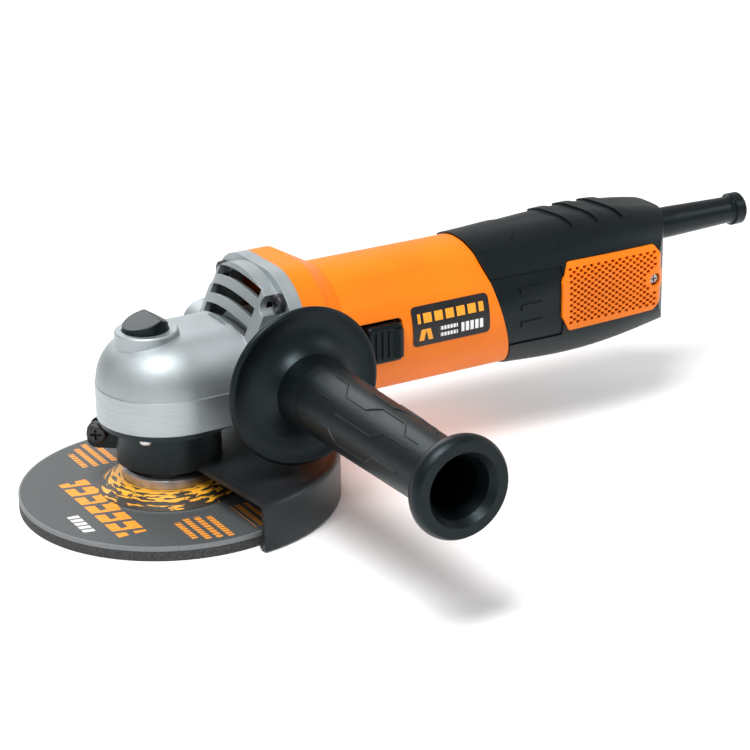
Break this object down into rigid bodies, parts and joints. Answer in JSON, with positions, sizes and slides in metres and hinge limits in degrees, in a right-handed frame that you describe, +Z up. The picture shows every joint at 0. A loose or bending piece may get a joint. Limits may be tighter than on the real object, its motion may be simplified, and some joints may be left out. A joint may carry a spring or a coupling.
{
  "type": "angle grinder",
  "caption": "Corded angle grinder with depressed-centre disc, turnable guard, side handle, slide switch, spindle lock and bevel-gear motor drive.",
  "frame": {"origin": "spindle axis at the outer face of the lock nut, midway between its two pin holes", "axes": "+Z up along the spindle towards the gear case, +X towards the rear handle and cord sleeve, -Y towards the side handle"},
  "size_m": [0.3525, 0.2409, 0.095],
  "materials": {
    "cast_aluminium": "cast, satin",
    "orange_plastic": "satin moulded",
    "black_plastic": "fine moulded texture",
    "black_nylon": "glass filled nylon",
    "black_steel": "satin black paint",
    "bright_steel": "turned",
    "dark_steel": "black oxide",
    "gear_steel": "hardened",
    "bearing_steel": "ground",
    "sintered_bronze": "sintered",
    "felt": "felt",
    "abrasive": "bonded grit",
    "paper_label": "printed paper",
    "plate_black": "printed film",
    "laminated_steel": "laminated",
    "copper_wire": "enamelled",
    "copper": "turned copper",
    "carbon": "pressed carbon",
    "brass": "stamped",
    "rubber_black": "moulded rubber",
    "switch_plastic": "moulded",
    "white_plastic": "moulded",
    "spring_steel": "drawn wire"
  },
  "bodies": {
    "tool_body": {"gear_head": "cast_aluminium", "gear_head_screws": "dark_steel", "spindle_lock_spring": "spring_steel", "bearing_cover": "black_steel", "bearing_cover_screws": "bright_steel", "bearing_retaining_ring": "spring_steel", "spindle_bearing_outer": "bearing_steel", "spindle_upper_bush": "sintered_bronze", "spindle_seal": "felt", "front_bearing_outer": "bearing_steel", "rear_bearing_outer": "bearing_steel", "air_baffle": "black_nylon", "stator_core": "laminated_steel", "field_coils": "copper_wire", "stator_screws": "bright_steel", "motor_housing": "orange_plastic", "name_plate": "plate_black", "switch_body": "white_plastic", "brush_bracket": "black_nylon", "rear_bearing_sleeve": "rubber_black", "brush_holders": "brass", "carbon_brushes": "carbon", "brush_springs": "spring_steel", "rear_handle_left": "black_plastic", "rear_handle_right": "black_plastic", "vent_cover_left": "orange_plastic", "vent_cover_right": "orange_plastic", "rear_handle_screws": "bright_steel", "cord_sleeve": "rubber_black", "cord_clamp": "black_nylon", "cord_clamp_screws": "bright_steel"},
    "guard_set": {"guard": "black_steel", "guard_band": "black_steel", "guard_clamp_screw": "dark_steel", "guard_clamp_nut": "dark_steel"},
    "spindle_set": {"spindle": "gear_steel", "ring_gear": "gear_steel", "ring_gear_clip": "spring_steel", "spindle_bearing_inner": "bearing_steel", "inner_flange": "bright_steel", "grinding_disc": "abrasive", "disc_label": "paper_label", "lock_nut": "dark_steel"},
    "armature": {"armature_shaft": "gear_steel", "pinion": "gear_steel", "pinion_nut": "gear_steel", "front_bearing_inner": "bearing_steel", "cooling_fan": "black_nylon", "armature_core": "laminated_steel", "armature_windings": "copper_wire", "commutator": "copper", "rear_bearing_inner": "bearing_steel"},
    "lock_button": {"spindle_lock_button": "black_plastic", "spindle_lock_pin": "gear_steel", "spindle_lock_clip": "spring_steel"},
    "switch": {"switch_slider": "switch_plastic", "switch_link": "black_nylon"},
    "handle_washer": {"side_handle_washer": "dark_steel"},
    "side_handle": {"side_handle_grip": "black_plastic", "side_handle_stud": "bright_steel"}
  },
  "joints": [
    {"name": "spindle_spin", "type": "hinge", "parent": "tool_body", "child": "spindle_set", "pos_m": [0, 0, 0.0585], "axis": [0, 0, 1], "continuous": true},
    {"name": "armature_spin", "type": "hinge", "parent": "tool_body", "child": "armature", "pos_m": [0.1, 0, 0.0585], "axis": [1, 0, 0], "continuous": true},
    {"name": "guard_turn", "type": "hinge", "parent": "tool_body", "child": "guard_set", "pos_m": [0, 0, 0.026], "axis": [0, 0, 1], "range_deg": [-90, 90]},
    {"name": "spindle_lock_press", "type": "slide", "parent": "tool_body", "child": "lock_button", "axis": [0, 0, -1], "range_m": [0, 0.003], "stiffness_N_per_m": 1200, "springref_m": -0.002, "deforming": ["spindle_lock_spring"]},
    {"name": "switch_slide", "type": "slide", "parent": "tool_body", "child": "switch", "axis": [-1, 0, 0], "range_m": [0, 0.006]},
    {"name": "handle_turn", "type": "hinge", "parent": "tool_body", "child": "handle_washer", "pos_m": [0.0363, -0.039, 0.0573], "axis": [0, -1, 0], "range_deg": [0, 2880]},
    {"name": "handle_unscrew", "type": "slide", "parent": "handle_washer", "child": "side_handle", "axis": [0, -1, 0], "range_m": [0, 0.012]}
  ],
  "couplings": [
    {"joint": "armature_spin", "follows": "spindle_spin", "ratio": 3.25},
    {"joint": "handle_unscrew", "follows": "handle_turn", "m_per_rad": 0.00023873}
  ]
}
